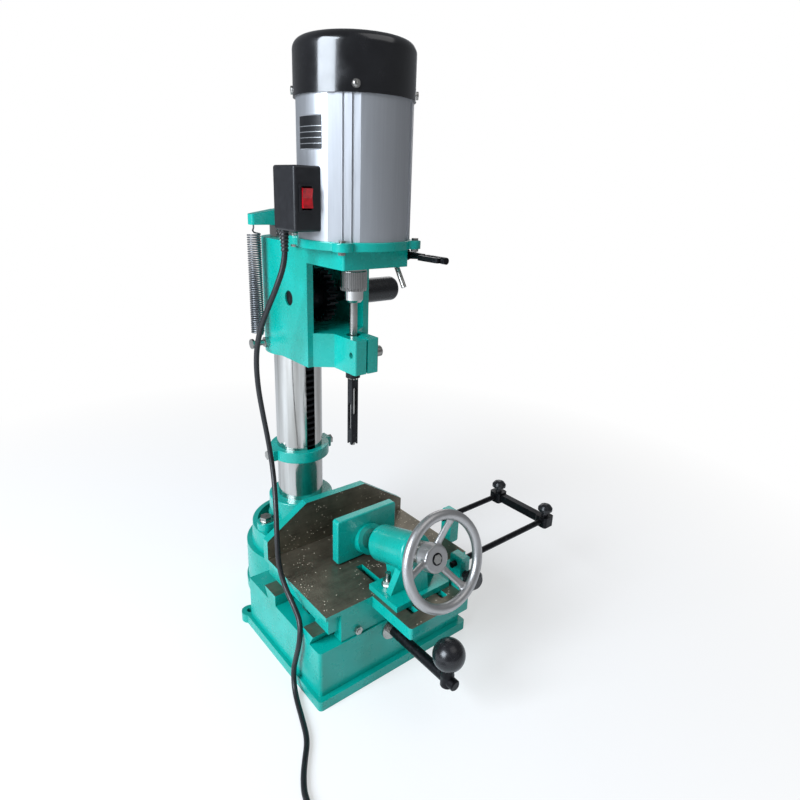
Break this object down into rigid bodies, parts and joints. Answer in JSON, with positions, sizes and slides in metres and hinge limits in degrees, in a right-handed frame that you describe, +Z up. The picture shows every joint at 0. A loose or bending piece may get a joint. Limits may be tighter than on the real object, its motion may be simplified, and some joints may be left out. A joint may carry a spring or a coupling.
{
  "type": "benchtop mortiser",
  "caption": "Benchtop hollow-chisel mortiser: green castings, rack-fed head on a column, sliding table with a handwheel clamp and a stop frame.",
  "frame": {"origin": "bench surface on the axis of the column", "axes": "+Z up along the column; -Y towards the operator; +X to the operator's right, along the table's travel"},
  "size_m": [0.6415, 0.69, 0.78],
  "materials": {
    "green_paint": "gloss",
    "steel": "satin",
    "black_oxide": "satin",
    "chrome": "polished",
    "silver_shell": "satin",
    "cast_silver": "satin",
    "black_cover": "gloss",
    "black_plastic": "satin",
    "cord_black": "matte",
    "rocker_red": "gloss",
    "brass": "polished"
  },
  "bodies": {
    "base": {"base_casting": "green_paint", "feed_bush": "steel", "column_socket": "green_paint", "column": "steel", "column_rack": "black_oxide", "spring_arm": "green_paint", "column_bolts": "steel", "stop_collar": "green_paint", "collar_screws": "steel", "cord_lay": "cord_black", "cord_coil": "cord_black", "cord_tail": "cord_black", "plug": "cord_black", "plug_pins": "brass"},
    "table": {"table_casting": "green_paint", "gib_strip": "steel", "gib_screws": "steel", "table_rack": "steel", "clamp_body": "green_paint", "clamp_bolts": "steel", "rod_brackets": "green_paint"},
    "jaw": {"jaw_plate": "green_paint", "clamp_quill": "steel"},
    "clamp_wheel": {"clamp_screw": "steel", "handwheel": "cast_silver", "wheel_nut": "steel"},
    "table_feed": {"feed_pinion": "steel", "feed_crank": "black_oxide", "ball_knob": "black_plastic"},
    "stop_frame": {"stop_rods": "black_oxide", "stop_bar": "black_oxide"},
    "knob_back": {"stop_knob_back": "black_plastic"},
    "knob_front": {"stop_knob_front": "black_plastic"},
    "knob_rod": {"rod_knob": "black_plastic"},
    "head": {"head_casting": "green_paint", "head_screws": "steel", "chisel": "black_oxide", "guide_pin": "steel", "motor_flange": "green_paint", "motor_shell": "silver_shell", "stator": "steel", "rear_bell": "cast_silver", "motor_bearings": "steel", "fan_cover": "black_cover", "motor_screws": "steel", "switch_box": "black_plastic", "cord_gland": "cord_black", "counter_spring": "black_oxide", "cord_drop": "cord_black"},
    "lock": {"lock_lever": "black_oxide"},
    "lift": {"lift_pinion": "black_oxide", "lever_hub": "black_plastic", "feed_lever": "steel", "lever_grip": "black_plastic"},
    "spindle": {"rotor": "steel", "cooling_fan": "black_plastic", "chuck_body": "chrome", "chuck_sleeve": "chrome", "auger_bit": "steel"},
    "rocker": {"rocker": "rocker_red"}
  },
  "joints": [
    {"name": "head_slide", "type": "slide", "parent": "base", "child": "head", "axis": [0, 0, 1], "range_m": [-0.105, 0], "stiffness_N_per_m": 1000, "springref_m": 0.2, "deforming": ["counter_spring", "cord_drop"]},
    {"name": "table_slide", "type": "slide", "parent": "base", "child": "table", "axis": [1, 0, 0], "range_m": [-0.055, 0.055]},
    {"name": "clamp_turn", "type": "hinge", "parent": "table", "child": "clamp_wheel", "pos_m": [0.008, -0.171, 0.155], "axis": [0, -0.9563, 0.2924], "range_deg": [0, 2160]},
    {"name": "jaw_slide", "type": "slide", "parent": "table", "child": "jaw", "axis": [0, 0.9563, -0.2924], "range_m": [-0.0241, 0.0001]},
    {"name": "feed_turn", "type": "hinge", "parent": "base", "child": "table_feed", "pos_m": [-0.01, -0.252, 0.064], "axis": [0, 1, 0], "range_deg": [-160, 160]},
    {"name": "stop_slide", "type": "slide", "parent": "table", "child": "stop_frame", "axis": [1, 0, 0], "range_m": [-0.08, 0]},
    {"name": "knob_back_turn", "type": "hinge", "parent": "stop_frame", "child": "knob_back", "pos_m": [0.24, -0.207, 0.172], "axis": [0, 0, 1], "range_deg": [-180, 180]},
    {"name": "knob_front_turn", "type": "hinge", "parent": "stop_frame", "child": "knob_front", "pos_m": [0.24, -0.298, 0.172], "axis": [0, 0, 1], "range_deg": [-180, 180]},
    {"name": "knob_rod_turn", "type": "hinge", "parent": "table", "child": "knob_rod", "pos_m": [0.065, -0.308, 0.15], "axis": [0, 1, 0], "range_deg": [-180, 180]},
    {"name": "lift_turn", "type": "hinge", "parent": "head", "child": "lift", "pos_m": [0, -0.064, 0.484], "axis": [1, 0, 0], "range_deg": [-5, 190]},
    {"name": "lock_turn", "type": "hinge", "parent": "head", "child": "lock", "pos_m": [0.052, -0.18, 0.548], "axis": [1, 0, 0], "range_deg": [0, 45]},
    {"name": "spindle_turn", "type": "hinge", "parent": "head", "child": "spindle", "pos_m": [0, -0.144, 0.5], "axis": [0, 0, 1], "continuous": true},
    {"name": "rocker_turn", "type": "hinge", "parent": "head", "child": "rocker", "pos_m": [-0.081, -0.163, 0.613], "axis": [1, 0, 0], "range_deg": [-8, 8]}
  ],
  "couplings": [
    {"joint": "lift_turn", "follows": "head_slide", "rad_per_m": -30.303},
    {"joint": "feed_turn", "follows": "table_slide", "rad_per_m": 50},
    {"joint": "jaw_slide", "follows": "clamp_turn", "m_per_rad": -0.00063662}
  ]
}
